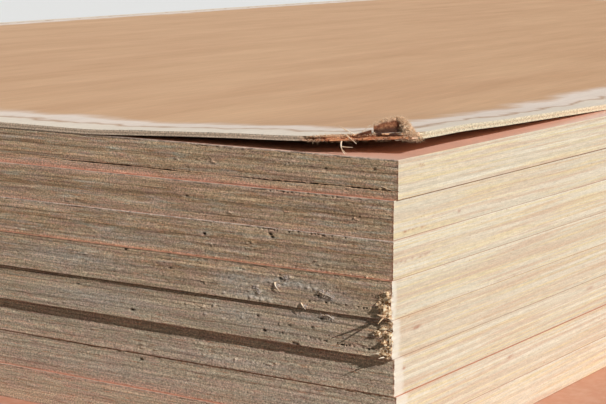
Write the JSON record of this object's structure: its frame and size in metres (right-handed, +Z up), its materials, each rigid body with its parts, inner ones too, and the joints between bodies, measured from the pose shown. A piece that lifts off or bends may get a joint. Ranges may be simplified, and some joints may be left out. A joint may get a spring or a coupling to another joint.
{
  "type": "stack of plywood sheets",
  "caption": "Flat stack of like red-brown film-faced plywood sheets with bare pale edges, under a thin weathered cover sheet whose near corner is torn and lifted.",
  "frame": {"origin": "bottom centre of the box round the whole stack, on the surface that it rests on", "axes": "+X along the sheets' length, away from the torn corner; +Y across their width; +Z up"},
  "size_m": [1.864, 1.0636, 0.1785],
  "materials": {
    "film_faced_plywood": "bare sawn plywood edge, with a red-brown resin film on both faces",
    "weathered_plywood": "unsanded, sun-bleached and rain-marked veneer"
  },
  "bodies": {
    "root": {"base_sheet": "film_faced_plywood", "sheet_1": "film_faced_plywood", "sheet_2": "film_faced_plywood", "sheet_3": "film_faced_plywood", "sheet_4": "film_faced_plywood", "sheet_5": "film_faced_plywood", "sheet_6": "film_faced_plywood", "sheet_7": "film_faced_plywood", "sheet_8": "film_faced_plywood", "cover_sheet": "weathered_plywood"}
  },
  "joints": []
}
